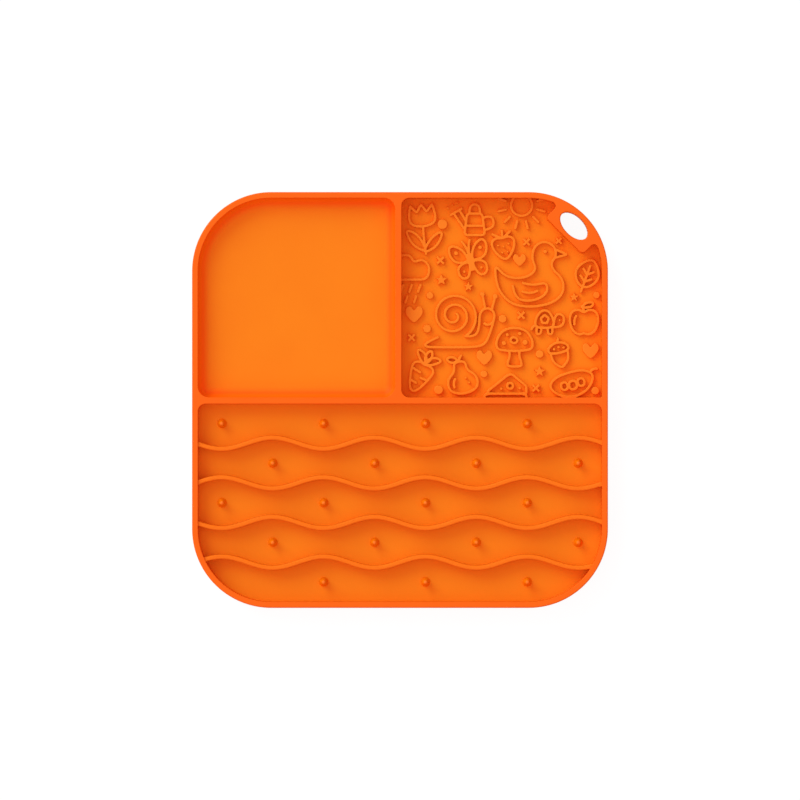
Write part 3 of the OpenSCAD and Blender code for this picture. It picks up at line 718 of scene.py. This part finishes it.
def suction_cups(node):
    low, high = (corner.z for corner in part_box(node))
    bm = bmesh.new()
    for x, y, lip_r in islands(node):
        hollow_r = lip_r - CUP_LAND
        ball_r = (hollow_r ** 2 + CUP_HOLLOW ** 2) / (2 * CUP_HOLLOW)
        reach = math.asin(hollow_r / ball_r)
        turns = [reach * k / DOME_STEPS for k in range(DOME_STEPS + 1)]
        dome = [(ball_r * math.sin(a), CUP_HOLLOW - ball_r * (1 - math.cos(a))) for a in turns]
        edge = CUP_LIP / 2
        turns = [math.pi / 2 * k / ROUND_STEPS for k in range(-ROUND_STEPS, ROUND_STEPS + 1)]
        lip = [(lip_r - edge + edge * math.cos(a), low + edge + edge * math.sin(a)) for a in turns]
        turns = [math.pi / 2 * (1 - k / ROUND_STEPS) for k in range(ROUND_STEPS + 1)]
        r = CUP_NECK_FILLET
        neck = [(CUP_NECK_R + r * (1 - math.sin(a)), high - r * (1 - math.cos(a))) for a in turns]
        add_lathe(bm, x, y, dome + lip + neck + [(0, high)])
    return dressed(finished("moulded_" + node, bm), node, CUP_SILICONE)


BUILDERS = (
    ("wave_ridge_", wave_ridge),
    ("nub_row_", nub_row),
    ("relief_", relief),
    ("suction_cups_", suction_cups),
)

base_sheet()
walls()
tray_cove()
for start, build in BUILDERS:
    for node in sorted(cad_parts):
        if node.startswith(start):
            build(node)


# Camera, straight above the mat

PHOTO_SPAN = 0.38467
CAMERA_HEIGHT = 3.0
SENSOR_WIDTH = 36
VIEW_REACH = 20


def camera():
    data = bpy.data.cameras.new("camera")
    data.sensor_width = SENSOR_WIDTH
    data.lens = SENSOR_WIDTH * (CAMERA_HEIGHT - RIM_TOP) / PHOTO_SPAN
    data.clip_end = VIEW_REACH
    eye = bpy.data.objects.new("camera", data)
    eye.location = (0, 0, CAMERA_HEIGHT)
    bpy.context.scene.collection.objects.link(eye)
    bpy.context.scene.camera = eye


# Light: a broad lamp from the upper left, a broader one overhead and an even surround. Each level
# is the share of a level of 1 that a flat face which looks up gets.

# Name, level, turn, rise, width and colour
LAMPS = (
    ("side_lamp", 0.32, 133, 30, 40, (0.60, 1.08, 1.08)),
    ("overhead_lamp", 0.24, 200, 66, 90, WHITE),
)
SURROUND_LEVEL = 0.56
SURROUND_COLOUR = (1.12, 0.89, 0.87)


def lamp(name, level, turn, rise, width, colour):
    """A sun lamp from its level, and in degrees the way it stands and how wide it looks."""
    turn, rise, width = (math.radians(a) for a in (turn, rise, width))
    data = bpy.data.lights.new(name, "SUN")
    data.color = colour
    data.energy = level * math.pi / math.sin(rise)
    data.angle = width
    light = bpy.data.objects.new(name, data)
    way = Vector((math.cos(rise) * math.cos(turn), math.cos(rise) * math.sin(turn), math.sin(rise)))
    light.location = way
    light.rotation_euler = way.to_track_quat("Z", "Y").to_euler()
    bpy.context.scene.collection.objects.link(light)


def seen_ray(nodes, links):
    """1 for a ray from the camera, or one by way of gloss or glass, and 0 for light on the object."""
    path = nodes.new("ShaderNodeLightPath")
    total = path.outputs["Is Camera Ray"]
    for name in ("Is Glossy Ray", "Is Transmission Ray"):
        larger = nodes.new("ShaderNodeMath")
        larger.operation = "MAXIMUM"
        links.new(total, larger.inputs[0])
        links.new(path.outputs[name], larger.inputs[1])
        total = larger.outputs["Value"]
    return total


def surround():
    world = bpy.data.worlds.new("surround")
    world.use_nodes = True
    bpy.context.scene.world = world
    nodes, links = world.node_tree.nodes, world.node_tree.links
    light = nodes["Background"]
    light.inputs["Color"].default_value = (*SURROUND_COLOUR, 1)
    light.inputs["Strength"].default_value = SURROUND_LEVEL
    white = nodes.new("ShaderNodeBackground")
    white.inputs["Color"].default_value = (*WHITE, 1)
    white.inputs["Strength"].default_value = 1
    mix = nodes.new("ShaderNodeMixShader")
    links.new(seen_ray(nodes, links), mix.inputs["Fac"])
    links.new(light.outputs["Background"], mix.inputs[1])
    links.new(white.outputs["Background"], mix.inputs[2])
    links.new(mix.outputs["Shader"], nodes["World Output"].inputs["Surface"])


FLOOR_HALF = 3.0
FLOOR_COLOUR = 0.8
FLOOR_SHADE = 0.10
FLOOR_GLOW = 0.93


def floor():
    """A white floor that keeps the mat's shadow."""
    bm = bmesh.new()
    corners = boxed(-FLOOR_HALF, FLOOR_HALF, -FLOOR_HALF, FLOOR_HALF)
    bm.faces.new([bm.verts.new((*corner, 0)) for corner in corners])
    plane = finished("floor", bm)
    material = bpy.data.materials.new("floor_white")
    material.use_nodes = True
    nodes, links = material.node_tree.nodes, material.node_tree.links
    nodes.remove(nodes["Principled BSDF"])
    plain = nodes.new("ShaderNodeBsdfDiffuse")
    plain.inputs["Color"].default_value = (FLOOR_COLOUR, FLOOR_COLOUR, FLOOR_COLOUR, 1)
    shaded = nodes.new("ShaderNodeBsdfDiffuse")
    shaded.inputs["Color"].default_value = (FLOOR_SHADE, FLOOR_SHADE, FLOOR_SHADE, 1)
    glow = nodes.new("ShaderNodeEmission")
    glow.inputs["Strength"].default_value = FLOOR_GLOW
    both = nodes.new("ShaderNodeAddShader")
    links.new(shaded.outputs["BSDF"], both.inputs[0])
    links.new(glow.outputs["Emission"], both.inputs[1])
    mix = nodes.new("ShaderNodeMixShader")
    links.new(seen_ray(nodes, links), mix.inputs["Fac"])
    links.new(plain.outputs["BSDF"], mix.inputs[1])
    links.new(both.outputs["Shader"], mix.inputs[2])
    links.new(mix.outputs["Shader"], nodes["Material Output"].inputs["Surface"])
    plane.data.materials.append(material)


camera()
for settings in LAMPS:
    lamp(*settings)
surround()
floor()
bpy.context.scene.view_settings.view_transform = "Standard"
